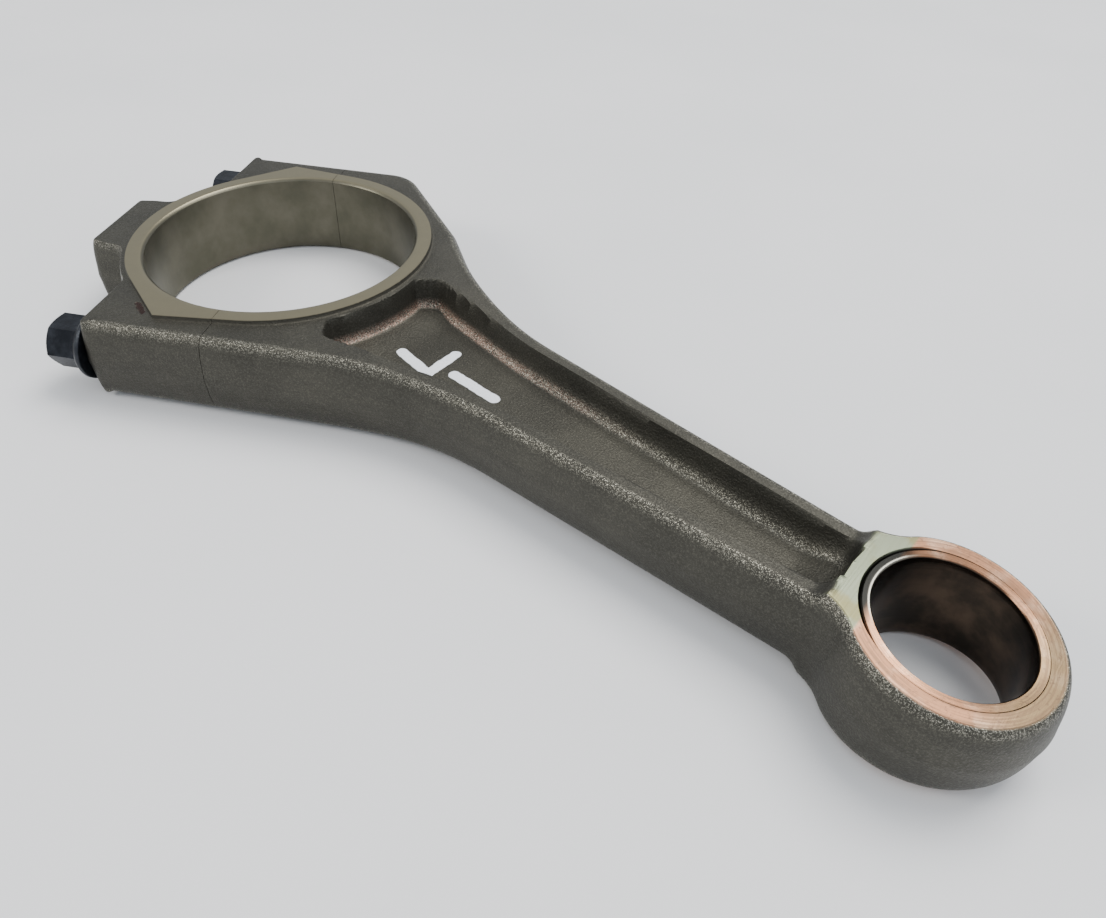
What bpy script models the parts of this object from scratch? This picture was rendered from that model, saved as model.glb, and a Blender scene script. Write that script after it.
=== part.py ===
"""Connecting rod with an oblique split big end, bolted cap and bushed, wedge-shaped small end.

The rod lies on its side with its lower machined faces on Z = 0 and its small end towards +X.
Its box stands centred on the origin. Lengths are in metres.
"""
import math

import bmesh
import bpy
from mathutils import Matrix, Vector

MM = 0.001

# Driving dimensions
CENTRE_DISTANCE = 160.0 * MM      # big end bore to small end bore
END_WIDTH = 20.0 * MM             # across the machined faces of both ends
BIG_BORE = 61.0 * MM              # housing bore of the big end
SMALL_BORE = 24.0 * MM            # finished bore of the bush
BUSH_WALL = 1.5 * MM
SPLIT_TILT = math.radians(30.0)   # cap bolts' axis, turned from the rod's axis

# Cap bolts
BOLT_SIZE = 8.0 * MM
BOLT_LENGTH = 40.0 * MM           # under the head
HEX_ACROSS_FLATS = 10.0 * MM
HEX_HEIGHT = 7.0 * MM
FLANGE_DIAMETER = 14.4 * MM
FLANGE_HEIGHT = 1.8 * MM
BOLT_CLEARANCE = 0.3 * MM         # radial, in the holes
HOLE_MARGIN = 1.6 * MM            # thread hole past the bolt's tip
DRILL_POINT = 2.2 * MM

# Big end and cap
RING_WALL = 3.8 * MM              # machined thrust ring around the big bore
RING_STAND = 0.9 * MM             # height of the thrust ring above the forged cheeks
EAR_REACH = 5.6 * MM              # how far the ring's pointed ears stand out of the bore
EAR_SETBACK = 12.2 * MM           # ears' tips, behind the split on the cap
CAP_WALL = 5.8 * MM               # cap's back, bore to outside
BOLT_WALL = 1.2 * MM              # between the bolt holes and the big bore
BOSS_WALL = 6.0 * MM              # bolt axis to the outer flank
SEAT_DEPTH = 26.8 * MM            # split to the seats under the bolt heads
SPOT_FACE_MARGIN = 0.9 * MM       # spot face around the bolt's flange
LUG_WIDTH = 24.0 * MM             # balance lug on the cap's back
LUG_STAND = 6.7 * MM              # lug's end, beyond the cap's back
SHOULDER_REACH = 18.5 * MM        # split to where the far flank turns towards the beam
SHOULDER_WALL = 10.5 * MM         # bore to the foot of the far shoulder
SHOULDER_ANGLE = math.radians(20.0)   # shoulder's foot, from the bolts' axis
SHOULDER_FALL = math.radians(-32.7)   # way the outline leaves the shoulder's foot

# Beam
BEAM_ROOT = 55.7 * MM             # station of the root width, beyond the thrust ring
BEAM_ROOT_WIDTH = 25.6 * MM
BEAM_END_INSET = 20.0 * MM        # station of the end width, before the small bore
BEAM_END_WIDTH = 21.0 * MM
RIB_DROP = 2.0 * MM               # rib tops below the machined faces
RIB_WIDTH = 4.2 * MM
WEB_THICKNESS = 3.9 * MM
CHEEK_END = 10.7 * MM             # cheeks begin to fall to the ribs, beyond the thrust ring
CHEEK_RAMP = 24.0 * MM
RECESS_GAP = 1.2 * MM             # recess's head, beyond the thrust ring
RECESS_CORNER = 6.3 * MM          # recess's head corners, beyond the thrust ring
RECESS_HEAD = {1: (math.radians(15.5), math.radians(19.0)),
               -1: (math.radians(-22.2), math.radians(-25.0))}   # along the ring, corner
RECESS_LEAD = 24.0 * MM           # recess's sides turn towards its head, before the beam's root
RECESS_STOP = 0.6 * MM            # recess's end, before the machined flat

# Small end
SMALL_BOSS_WALL = 3.8 * MM        # steel around the bush
WEDGE_ANGLE = math.radians(5.9)   # each face leans in towards the tip
WEDGE_INSET = 3.2 * MM            # wedge's start, inside the eye's edge
FLAT_WALL = 1.6 * MM              # shank edge of the machined flat, outside the eye
FLAT_RISE = 4.0 * MM              # length of the rise from the ribs to the flat

# Fillets, fits and finish
BEAM_FILLET = 75.0 * MM
SHOULDER_FILLET = 14.0 * MM
SHOULDER_ROUND = 11.0 * MM
SEAT_ROUND = 3.2 * MM
LUG_FILLET = 2.2 * MM
LUG_ROUND = 2.4 * MM
NECK_FILLET = 8.0 * MM
HEAD_ROUND = 3.4 * MM
END_ROUND = 4.4 * MM
FLOOR_FILLET = 2.6 * MM
FORGED_ROUND = 2.0 * MM
BORE_CHAMFER = 0.6 * MM
BUSH_CHAMFER = 0.4 * MM
BOLT_CHAMFER = 1.2 * MM
FACE_GAP = 0.3 * MM               # between pieces that meet face to face
THIN = 0.1 * MM
OVER = 2.0 * MM                   # how far a cutter passes the surface it cuts

# Sizes that follow
MID = END_WIDTH / 2
BIG_R = BIG_BORE / 2
CHEEK = MID - RING_STAND
RIB = MID - RIB_DROP
RING_R = BIG_R + RING_WALL
CAP_R = BIG_R + CAP_WALL
BOLT_HOLE_R = BOLT_SIZE / 2 + BOLT_CLEARANCE
BOLT_OFFSET = BIG_R + BOLT_WALL + BOLT_HOLE_R
BOSS = BOLT_OFFSET + BOSS_WALL
LUG_REACH = CAP_R + LUG_STAND
ROOT_X = RING_R + BEAM_ROOT
BUSH_R = SMALL_BORE / 2 + BUSH_WALL
EYE_R = BUSH_R + FACE_GAP
SMALL_R = EYE_R + SMALL_BOSS_WALL
WEDGE_X = CENTRE_DISTANCE - EYE_R + WEDGE_INSET
FLAT_X = CENTRE_DISTANCE - EYE_R - FLAT_WALL
FAR_X = CENTRE_DISTANCE + 2 * SMALL_R    # safely past the tip

for item in list(bpy.data.objects):
    bpy.data.objects.remove(item)


def collection(name):
    made = bpy.data.collections.new(name)
    bpy.context.scene.collection.children.link(made)
    return made


PARTS = collection("connecting_rod")
CUTTERS = collection("cutters")
BIG_END = bpy.data.objects.new("big_end_axis", None)
PARTS.objects.link(BIG_END)


def material(name, colour, roughness, metallic):
    made = bpy.data.materials.new(name)
    made.use_nodes = True
    shader = made.node_tree.nodes["Principled BSDF"]
    shader.inputs["Base Color"].default_value = (*colour, 1.0)
    shader.inputs["Roughness"].default_value = roughness
    shader.inputs["Metallic"].default_value = metallic
    return made


FORGED = material("forged_steel", (0.075, 0.072, 0.062), 0.55, 0.85)
OXIDE = material("black_oxide", (0.018, 0.021, 0.026), 0.32, 0.8)
BRONZE = material("bush_bronze", (0.16, 0.11, 0.07), 0.3, 0.95)


# Outlines

def polar(radius, angle):
    return Vector((radius * math.cos(angle), radius * math.sin(angle)))


def from_cap(u, v):
    """Plan point from the cap's own axes: u along the bolts into the rod, v along the split."""
    return polar(u, SPLIT_TILT) + polar(v, SPLIT_TILT + math.pi / 2)


def meet(p, direction, q, other):
    """Point where two lines cross."""
    across = direction.x * other.y - direction.y * other.x
    t = ((q.x - p.x) * other.y - (q.y - p.y) * other.x) / across
    return p + direction * t


def rounded(corners, step=math.radians(12.0)):
    """Closed outline of (point, radius) corners, each turned into an arc of its radius."""
    outline = []
    for i, (here, radius) in enumerate(corners):
        before = (corners[i - 1][0] - here).normalized()
        after = (corners[(i + 1) % len(corners)][0] - here).normalized()
        if radius == 0:
            outline.append(here)
            continue
        opening = before.angle(after)
        turn = math.pi - opening
        bisector = (before + after).normalized()
        centre = here + bisector * (radius / math.sin(opening / 2))
        start = here + before * (radius / math.tan(opening / 2)) - centre
        sign = 1 if before.x * after.y - before.y * after.x < 0 else -1
        count = max(2, math.ceil(turn / step))
        for k in range(count + 1):
            spin = Matrix.Rotation(sign * turn * k / count, 2)
            outline.append(centre + spin @ start)
    return outline


def arc(centre, radius, start, end, count):
    return [centre + polar(radius, start + (end - start) * k / count) for k in range(count + 1)]


def beam_edge(side):
    """A point on the beam's edge, the way along it and its outward normal."""
    root = Vector((ROOT_X, side * BEAM_ROOT_WIDTH / 2))
    end = Vector((CENTRE_DISTANCE - BEAM_END_INSET, side * BEAM_END_WIDTH / 2))
    along = (end - root).normalized()
    return root, along, Vector((-along.y, along.x)) * side


def neck(side):
    """Fillet from the beam's edge to the round boss of the small end."""
    root, along, normal = beam_edge(side)
    eye = Vector((CENTRE_DISTANCE, 0))
    rise = normal.dot(root) + NECK_FILLET - normal.dot(eye)
    reach = SMALL_R + NECK_FILLET
    centre = eye + normal * rise - along * math.sqrt(reach ** 2 - rise ** 2)
    on_boss = (eye - centre) * NECK_FILLET / reach
    start, end = math.atan2(-normal.y, -normal.x), math.atan2(on_boss.y, on_boss.x)
    return arc(centre, NECK_FILLET, start, end, 4)


def small_end():
    """Outline from the far beam edge round the tip to the near beam edge, clockwise."""
    eye = Vector((CENTRE_DISTANCE, 0))
    far, near = neck(1), neck(-1)
    on_boss = far[-1] - eye
    reach = math.atan2(on_boss.y, on_boss.x)
    return far + arc(eye, SMALL_R, reach, -reach, 28)[1:-1] + near[::-1]


def cap_back(side):
    """Cap's round back from the seat to the lug, with fillets where it meets them."""
    seat = math.acos(-SEAT_DEPTH / CAP_R)
    lug = math.pi - math.asin(LUG_WIDTH / 2 / CAP_R)
    points = arc(Vector((0, 0)), CAP_R, seat, lug, 5)
    fillets = [LUG_FILLET] + [0] * (len(points) - 2) + [LUG_FILLET]
    return [(from_cap(p.x, side * p.y), fillet) for p, fillet in zip(points, fillets)]


def plan():
    """Outline of the whole forging, cap and rod in one, clockwise from the far seat."""
    far_root, far_along, _ = beam_edge(1)
    near_root, near_along, _ = beam_edge(-1)
    foot = BIG_R + SHOULDER_WALL
    shoulder = from_cap(foot * math.cos(SHOULDER_ANGLE), foot * math.sin(SHOULDER_ANGLE))
    far_foot = meet(shoulder, polar(1, SHOULDER_FALL), far_root, far_along)
    near_foot = meet(from_cap(0, -BOSS), from_cap(1, 0), near_root, near_along)
    corners = [(from_cap(-SEAT_DEPTH, BOSS), SEAT_ROUND),
               (from_cap(SHOULDER_REACH, BOSS), SHOULDER_ROUND),
               (shoulder, SHOULDER_FILLET),
               (far_foot, BEAM_FILLET)]
    corners += [(p, 0) for p in small_end()]
    corners += [(near_foot, BEAM_FILLET), (from_cap(-SEAT_DEPTH, -BOSS), SEAT_ROUND)]
    corners += cap_back(-1)
    corners += [(from_cap(-LUG_REACH, side * LUG_WIDTH / 2), LUG_ROUND) for side in (-1, 1)]
    corners += cap_back(1)[::-1]
    return rounded(corners)


def mirrored(upper):
    """Closed side view from its upper half."""
    return [Vector(p) for p in upper] + [Vector((x, -z)) for x, z in reversed(upper)]


def wedge_height(x):
    """Half thickness of the small end where its faces lean in."""
    return MID - (x - WEDGE_X) * math.tan(WEDGE_ANGLE)


def side_view():
    """Side view of the forging: cheeks, beam, machined flat and wedge."""
    ramp = RING_R + CHEEK_END
    return mirrored([(-2 * BOSS, CHEEK), (ramp, CHEEK), (ramp + CHEEK_RAMP, RIB),
                     (FLAT_X - FLAT_RISE, RIB), (FLAT_X, MID), (WEDGE_X, MID),
                     (FAR_X, wedge_height(FAR_X))])


def bush_view():
    """Side view of the bush's ends, faced a little below the small end's faces."""
    return mirrored([(CENTRE_DISTANCE - 2 * SMALL_R, MID - BUSH_CHAMFER),
                     (WEDGE_X, MID - BUSH_CHAMFER),
                     (FAR_X, wedge_height(FAR_X) - BUSH_CHAMFER)])


def pocket_plan():
    """Outline of the recess between the ribs, from the thrust ring to the machined flat."""
    across = Vector((0, 1))
    corners = []
    for side in (1, -1):
        root, along, normal = beam_edge(side)
        inner = root - normal * RIB_WIDTH
        head = polar(RING_R + RECESS_CORNER, RECESS_HEAD[side][1])
        lead = meet(inner, along, Vector((ROOT_X - RECESS_LEAD, 0)), across)
        end = meet(inner, along, Vector((FLAT_X - RECESS_STOP, 0)), across)
        half = [(head, HEAD_ROUND), (lead, BEAM_FILLET), (end, END_ROUND)]
        corners += half[::side]
    head = arc(Vector((0, 0)), RING_R + RECESS_GAP, RECESS_HEAD[-1][0], RECESS_HEAD[1][0], 8)
    return rounded(corners + [(p, 0) for p in head])


def ring_plan():
    """Machined thrust ring: a circle with a pointed ear on each side, on the cap."""
    tip = Vector((-EAR_SETBACK, BIG_R + EAR_REACH))
    lean = math.atan2(tip.y, tip.x)
    reach = math.acos(RING_R / tip.length)
    to_rod = arc(Vector((0, 0)), RING_R, reach - lean, lean - reach, 40)
    to_cap = arc(Vector((0, 0)), RING_R, lean + reach, 2 * math.pi - lean - reach, 24)
    outline = to_rod + [tip] + to_cap + [Vector((tip.x, -tip.y))]
    return [from_cap(p.x, p.y) for p in outline]


# Solids

def keep(obj, surface, group=PARTS):
    """Puts an object in its collection, hung on the big end's axis, with its material."""
    for owner in list(obj.users_collection):
        owner.objects.unlink(obj)
    group.objects.link(obj)
    obj.data.materials.clear()
    obj.data.materials.append(surface)
    obj.parent = BIG_END
    if group is CUTTERS:
        obj.hide_render = True
        obj.display_type = "WIRE"
    return obj


def at(x, y, z):
    return Matrix.Translation((x, y, z))


def solid(name, shape, place, surface=FORGED, group=CUTTERS):
    """Object made of a bmesh drawn about its own origin, which goes to `place`."""
    mesh = bpy.data.meshes.new(name)
    shape.to_mesh(mesh)
    shape.free()
    obj = bpy.data.objects.new(name, mesh)
    obj.matrix_world = place
    return keep(obj, surface, group)


def evaluated_shape(source):
    """Welded, outward-facing bmesh of an object's evaluated mesh; the object is removed."""
    bpy.context.scene.collection.objects.link(source)
    bpy.context.view_layer.update()
    ready = source.evaluated_get(bpy.context.evaluated_depsgraph_get())
    mesh = bpy.data.meshes.new_from_object(ready)
    bpy.data.objects.remove(source)
    shape = bmesh.new()
    shape.from_mesh(mesh)
    bpy.data.meshes.remove(mesh)
    bmesh.ops.remove_doubles(shape, verts=shape.verts, dist=1e-6)
    return shape


def prism(name, outline, half, place, surface=FORGED, group=CUTTERS):
    """A flat 2D curve outline, thickened to both sides of its plane."""
    curve = bpy.data.curves.new(name, "CURVE")
    curve.dimensions = "2D"
    curve.fill_mode = "BOTH"
    curve.extrude = half
    spline = curve.splines.new("POLY")
    spline.points.add(len(outline) - 1)
    for point, p in zip(spline.points, outline):
        point.co = (p.x, p.y, 0, 1)
    spline.use_cyclic_u = True
    shape = evaluated_shape(bpy.data.objects.new(name, curve))
    bmesh.ops.dissolve_limit(shape, angle_limit=1e-4, verts=shape.verts, edges=shape.edges)
    bmesh.ops.recalc_face_normals(shape, faces=shape.faces)
    return solid(name, shape, place, surface, group)


def turned(name, profile, place, steps=64, surface=FORGED, group=CUTTERS):
    """A profile of (radius, height) points turned about its axis."""
    mesh = bpy.data.meshes.new(name)
    points = [(r, 0, z) for r, z in profile]
    mesh.from_pydata(points, [(i, i + 1) for i in range(len(points) - 1)], [])
    obj = bpy.data.objects.new(name, mesh)
    screw = obj.modifiers.new("turn", "SCREW")
    screw.steps = steps
    screw.render_steps = steps
    screw.use_merge_vertices = True
    screw.merge_threshold = 1e-6
    shape = evaluated_shape(obj)
    bmesh.ops.recalc_face_normals(shape, faces=shape.faces)
    made = solid(name, shape, place, surface, group)
    made.data.set_sharp_from_angle(angle=math.radians(30))
    return made


def combine(obj, other, operation):
    step = obj.modifiers.new(other.name, "BOOLEAN")
    step.operation = operation
    step.object = other
    step.solver = "EXACT"


def apply_modifiers(obj):
    bpy.context.view_layer.update()
    ready = obj.evaluated_get(bpy.context.evaluated_depsgraph_get())
    mesh = bpy.data.meshes.new_from_object(ready)
    obj.modifiers.clear()
    obj.data = mesh


def round_edges(obj, chosen, radius):
    """Bevels the edges that `chosen` accepts."""
    shape = bmesh.new()
    shape.from_mesh(obj.data)
    edges = [e for e in shape.edges if len(e.link_faces) == 2 and chosen(e)]
    bmesh.ops.bevel(shape, geom=edges, offset=radius, segments=3, affect="EDGES", profile=0.5,
                    clamp_overlap=True)
    bmesh.ops.remove_doubles(shape, verts=shape.verts, dist=2e-6)
    shape.to_mesh(obj.data)
    shape.free()


IN_PLAN = at(0, 0, MID)
UPRIGHT = IN_PLAN @ Matrix.Rotation(math.pi / 2, 4, "X")
EYE = at(CENTRE_DISTANCE, 0, MID)


def bolt_frame(side):
    """Bolt axes: local Z runs from the head into the rod, origin on the split."""
    place = from_cap(0, side * BOLT_OFFSET)
    along = Vector((*from_cap(1, 0), 0))
    turn = Vector((0, 0, 1)).rotation_difference(along).to_matrix().to_4x4()
    return at(place.x, place.y, MID) @ turn


def bore_cutter(name, radius, place, chamfer, steps):
    """A straight bore through both faces, opened by a chamfer at each."""
    top = MID + OVER
    mouth = radius + chamfer + OVER
    profile = [(0, top), (mouth, top), (radius, MID - chamfer), (radius, chamfer - MID),
               (mouth, -top), (0, -top)]
    return turned(name, profile, place, steps)


def recess(sign):
    """Cutter for the recess on one face, its floor filleted into its walls."""
    floor = WEB_THICKNESS / 2
    half = (MID + OVER - floor) / 2
    name = "recess_upper" if sign > 0 else "recess_lower"
    pocket = prism(name, pocket_plan(), half, IN_PLAN @ at(0, 0, sign * (floor + half)))
    round_edges(pocket, lambda e: all(v.co.z * sign < THIN - half for v in e.verts), FLOOR_FILLET)
    return pocket


def forging():
    """Rod and cap in one piece, before they are parted."""
    body = prism("rod_body", plan(), MID + OVER, IN_PLAN, FORGED, PARTS)
    combine(body, prism("side_profile", side_view(), 2 * BOSS, UPRIGHT), "INTERSECT")
    apply_modifiers(body)
    round_edges(body, lambda e: (abs(e.link_faces[0].normal.z) < 0.3)
                != (abs(e.link_faces[1].normal.z) < 0.3), FORGED_ROUND)
    combine(body, prism("thrust_ring", ring_plan(), MID, IN_PLAN), "UNION")
    for sign in (1, -1):
        combine(body, recess(sign), "DIFFERENCE")
    combine(body, bore_cutter("big_bore", BIG_R, IN_PLAN, BORE_CHAMFER, 96), "DIFFERENCE")
    combine(body, bore_cutter("small_eye", EYE_R, EYE, THIN, 64), "DIFFERENCE")
    apply_modifiers(body)
    return body


def half_space(name, sign):
    """A block over everything on one side of the split, up to half of the joint's gap."""
    half = 2 * CENTRE_DISTANCE
    shape = bmesh.new()
    bmesh.ops.create_cube(shape, size=2 * half)
    centre = from_cap(sign * (half - FACE_GAP / 2), 0)
    turn = Matrix.Rotation(SPLIT_TILT, 4, "Z")
    return solid(name, shape, at(centre.x, centre.y, MID) @ turn)


def bolt_hole(name, side, start, end, point):
    profile = [(0, end + point), (BOLT_HOLE_R, end), (BOLT_HOLE_R, start), (0, start)]
    return turned(name, profile, bolt_frame(side), 24)


def spot_face(name, side):
    """Flat cut that seats a bolt's flange on the cap's shoulder."""
    radius = FLANGE_DIAMETER / 2 + SPOT_FACE_MARGIN
    level = THIN - SEAT_DEPTH
    profile = [(0, level), (radius, level), (radius, level - OVER), (0, level - OVER)]
    return turned(name, profile, bolt_frame(side), 32)


def rod_and_cap():
    rod = forging()
    cap = bpy.data.objects.new("bearing_cap", rod.data.copy())
    cap.matrix_world = IN_PLAN
    keep(cap, FORGED)
    combine(rod, half_space("cap_side", -1), "DIFFERENCE")
    combine(cap, half_space("rod_side", 1), "DIFFERENCE")
    tip = BOLT_LENGTH - SEAT_DEPTH + HOLE_MARGIN
    for side, word in ((1, "far"), (-1, "near")):
        thread = bolt_hole("thread_hole_" + word, side, -OVER, tip, DRILL_POINT)
        shank = bolt_hole("shank_hole_" + word, side, -SEAT_DEPTH - OVER, OVER, 0)
        combine(rod, thread, "DIFFERENCE")
        combine(cap, shank, "DIFFERENCE")
        combine(cap, spot_face("spot_face_" + word, side), "DIFFERENCE")


def cap_bolt(name, side):
    """Flanged hexagon bolt: chamfered head, flange and shank."""
    seat = -SEAT_DEPTH - FACE_GAP
    tip = seat + BOLT_LENGTH
    back = seat - FLANGE_HEIGHT
    top = back - HEX_HEIGHT
    r = BOLT_SIZE / 2
    flange = FLANGE_DIAMETER / 2
    edge = FLANGE_HEIGHT * 0.4
    corner = HEX_ACROSS_FLATS / math.sqrt(3)
    profile = [(0, tip), (r - BOLT_CHAMFER, tip), (r, tip - BOLT_CHAMFER), (r, seat),
               (flange, seat), (flange, seat - edge), (corner, back), (0, back)]
    bolt = turned(name, profile, bolt_frame(side), 32, OXIDE, PARTS)

    start = seat - edge
    shape = bmesh.new()
    bmesh.ops.create_cone(shape, cap_ends=True, segments=6, radius1=corner, radius2=corner,
                          depth=start - top)
    hexagon = solid(name + "_hexagon", shape, bolt_frame(side) @ at(0, 0, (start + top) / 2))

    flats = HEX_ACROSS_FLATS / 2
    outer = corner + OVER
    crown = [(0, seat), (outer, seat), (outer, top + (outer - flats) / 2), (flats, top), (0, top)]
    clear_of_corners = Matrix.Rotation(math.radians(4.0), 4, "Z")
    crown = turned(name + "_crown", crown, bolt_frame(side) @ clear_of_corners, 32)
    combine(hexagon, crown, "INTERSECT")
    combine(bolt, hexagon, "UNION")


def bush():
    """Thin bush pressed into the eye, its ends faced to the wedge."""
    inner = SMALL_BORE / 2
    top = MID + OVER
    profile = [(inner, top), (BUSH_R, top), (BUSH_R, -top), (inner, -top), (inner, top)]
    ring = turned("small_end_bush", profile, EYE, 64, BRONZE, PARTS)
    combine(ring, prism("bush_ends", bush_view(), 2 * BUSH_R, UPRIGHT), "INTERSECT")


def stand_on_origin():
    """Moves the big end's axis so that the rod's box stands centred on the origin."""
    bpy.context.view_layer.update()
    graph = bpy.context.evaluated_depsgraph_get()
    points = []
    for obj in PARTS.objects:
        if obj.type == "MESH":
            mesh = obj.evaluated_get(graph).data
            points += [obj.matrix_world @ v.co for v in mesh.vertices]
    for axis in (0, 1):
        reach = [p[axis] for p in points]
        BIG_END.location[axis] = -(min(reach) + max(reach)) / 2


rod_and_cap()
cap_bolt("cap_bolt_far", 1)
cap_bolt("cap_bolt_near", -1)
bush()
stand_on_origin()
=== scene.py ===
import math

import bpy
import numpy as np
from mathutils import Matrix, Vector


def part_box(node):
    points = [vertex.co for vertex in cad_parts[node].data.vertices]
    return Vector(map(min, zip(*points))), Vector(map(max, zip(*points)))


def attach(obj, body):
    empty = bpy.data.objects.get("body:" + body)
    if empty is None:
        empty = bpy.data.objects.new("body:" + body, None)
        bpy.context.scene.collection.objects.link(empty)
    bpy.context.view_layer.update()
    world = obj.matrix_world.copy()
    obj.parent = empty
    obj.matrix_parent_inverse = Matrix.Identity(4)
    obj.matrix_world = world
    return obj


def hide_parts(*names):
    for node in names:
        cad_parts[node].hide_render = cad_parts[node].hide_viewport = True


for name in ("Cube", "Light", "Camera"):    # what a new file starts with
    if name in bpy.data.objects:
        bpy.data.objects.remove(bpy.data.objects[name])

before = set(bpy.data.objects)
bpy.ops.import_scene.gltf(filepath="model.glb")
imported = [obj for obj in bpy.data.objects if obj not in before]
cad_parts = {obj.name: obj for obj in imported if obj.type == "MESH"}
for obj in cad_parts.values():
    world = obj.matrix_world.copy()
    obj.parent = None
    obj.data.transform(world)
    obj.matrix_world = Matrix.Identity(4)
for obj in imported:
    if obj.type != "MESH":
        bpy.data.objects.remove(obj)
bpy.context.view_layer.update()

# Plan lengths are in millimetres about the big bore's centre, heights about the mid plane.
mm = 0.001
weld = 0.0002       # points closer than this become one
rod = {
    "centres": 160.0, "half": 10.0, "bigBore": 30.5, "ring": 34.3, "ringFoot": 34.9, "cheek": 9.1,
    "split": math.radians(30.0), "gap": 0.06, "gapTurn": math.radians(0.1), "boss": 42.0,
    "rib": 8.0, "web": 1.95, "cheekEnd": 42.0, "cheekRamp": 26.0,
    "shoulder": (41.0, math.radians(20.0)), "shoulderFall": math.radians(-32.7),
    "shoulderReach": 18.5, "flankRound": 11.0, "shoulderRound": 14.0, "beamRound": 75.0,
    "rootX": 90.0, "rootY": 12.8, "endX": 140.0, "endY": 10.5, "neck": 8.0,
    "eye": 13.56, "smallEnd": 17.6, "flatX": 144.6, "wedgeX": 149.4,
    "wedgeLean": math.radians(5.9), "earTip": (-12.2, 36.1), "seam": 0.14,
}
bushLow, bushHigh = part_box("small_end_bush")
midZ = (bushLow.z + bushHigh.z) / 2
bigEnd = ((bushLow.x + bushHigh.x) / 2 - rod["centres"] * mm, (bushLow.y + bushHigh.y) / 2)


# World x, in metres, of a millimetre station along the rod.
def stationX(x):
    return bigEnd[0] + x * mm


# Plan point at radius r and angle a.
def polar(r, a):
    return np.stack([r * np.cos(a), r * np.sin(a)], -1)


# Plan point from the cap's axes: u along the bolts into the rod, v along the split.
def fromCap(u, v):
    c, s = math.cos(rod["split"]), math.sin(rod["split"])
    return np.array([u * c - v * s, u * s + v * c])


# Eased step: 0 below 0, 1 above 1, 3t^2 - 2t^3 between.
def ease(t):
    t = np.clip(t, 0, 1)
    return t * t * (3 - 2 * t)


# Crossing of the line through p along d with the line through q along e.
def meet(p, d, q, e):
    t = ((q[0] - p[0]) * e[1] - (q[1] - p[1]) * e[0]) / (d[0] * e[1] - d[1] * e[0])
    return np.array(p) + np.array(d) * t


# Polyline through (point, radius) corners, each corner replaced by the arc tangent to both sides.
def filletPath(corners, step=0.25):
    pieces = [np.array([corners[0][0]])]
    for (a, _), (b, r), (c, _) in zip(corners, corners[1:], corners[2:]):
        a, b, c = map(np.asarray, (a, b, c))
        back, on = (a - b) / np.linalg.norm(a - b), (c - b) / np.linalg.norm(c - b)
        opening = math.acos(np.clip(back @ on, -1, 1))
        if r == 0 or math.pi - opening < 1e-3:
            pieces.append(b[None])
            continue
        middle = (back + on) / np.linalg.norm(back + on)
        centre = b + middle * r / math.sin(opening / 2)
        start = b + back * r / math.tan(opening / 2) - centre
        sign = 1 if back[0] * on[1] - back[1] * on[0] < 0 else -1
        count = max(5, int((math.pi - opening) * r / step))
        turn = sign * np.linspace(0, math.pi - opening, count)
        pieces.append(centre + polar(r, math.atan2(start[1], start[0]) + turn))
    pieces.append(np.array([corners[-1][0]]))
    return np.concatenate(pieces)


# Distance travelled to each point of a polyline.
def walk(path):
    return np.concatenate([[0], np.cumsum(np.linalg.norm(np.diff(path, axis=0), axis=1))])


# Points of a polyline at the given distances along it.
def along(path, distance):
    s = walk(path)
    return np.stack([np.interp(distance, s, path[:, i]) for i in (0, 1)], -1)


# The same polyline with points at even distances.
def evenly(path, step):
    total = walk(path)[-1]
    return along(path, np.linspace(0, total, int(total / step) + 1))


# Unit normals of a clockwise polyline towards its inside, softened over a few points.
def inward(path):
    t = np.gradient(path, axis=0)
    t /= np.linalg.norm(t, axis=1)[:, None]
    t[1:-1] = (t[:-2] + 2 * t[1:-1] + t[2:]) / 4
    t /= np.linalg.norm(t, axis=1)[:, None]
    return np.stack([t[:, 1], -t[:, 0]], -1)


# Beam's edge: a point on it, the way along it and its outward normal.
def beamEdge(side):
    root = np.array([rod["rootX"], side * rod["rootY"]])
    end = np.array([rod["endX"], side * rod["endY"]])
    way = (end - root) / np.linalg.norm(end - root)
    return root, way, np.array([-way[1], way[0]]) * side


# Arc tangent to the beam's edge and to the small end's round boss.
def neckArc(side):
    root, way, out = beamEdge(side)
    eye = np.array([rod["centres"], 0.0])
    r = rod["neck"]
    reach = rod["smallEnd"] + r
    rise = out @ root + r - out @ eye
    centre = eye + out * rise - way * math.sqrt(reach ** 2 - rise ** 2)
    a = math.atan2(-out[1], -out[0])
    b = math.atan2(eye[1] - centre[1], eye[0] - centre[0])
    turn = (b - a + math.pi) % (2 * math.pi) - math.pi
    return centre + polar(r, a + np.linspace(0, turn, 24))


# Rod's outline, clockwise: far flank, shoulder, beam, small end and back to the near flank.
def rodOutline():
    farRoot, farWay, _ = beamEdge(1)
    nearRoot, nearWay, _ = beamEdge(-1)
    boss, gap = rod["boss"], rod["gap"]
    shoulder = fromCap(*polar(*rod["shoulder"]))
    farFoot = meet(shoulder, polar(1.0, rod["shoulderFall"]), farRoot, farWay)
    nearFoot = meet(fromCap(0, -boss), fromCap(1, 0), nearRoot, nearWay)
    farNeck, nearNeck = neckArc(1), neckArc(-1)[::-1]
    eye = np.array([rod["centres"], 0.0])
    reach = math.atan2(*(farNeck[-1] - eye)[::-1])
    tip = eye + polar(rod["smallEnd"], np.linspace(reach, -reach, 220))
    turn = fromCap(rod["shoulderReach"], boss)
    far = filletPath([(fromCap(gap, boss), 0), (turn, rod["flankRound"]),
                      (shoulder, rod["shoulderRound"]), (farFoot, rod["beamRound"]), (farNeck[0], 0)])
    near = filletPath([(nearNeck[-1], 0), (nearFoot, rod["beamRound"]), (fromCap(gap, -boss), 0)])
    return evenly(np.concatenate([far, farNeck[1:-1], tip, nearNeck[1:-1], near]), 0.2)


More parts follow.
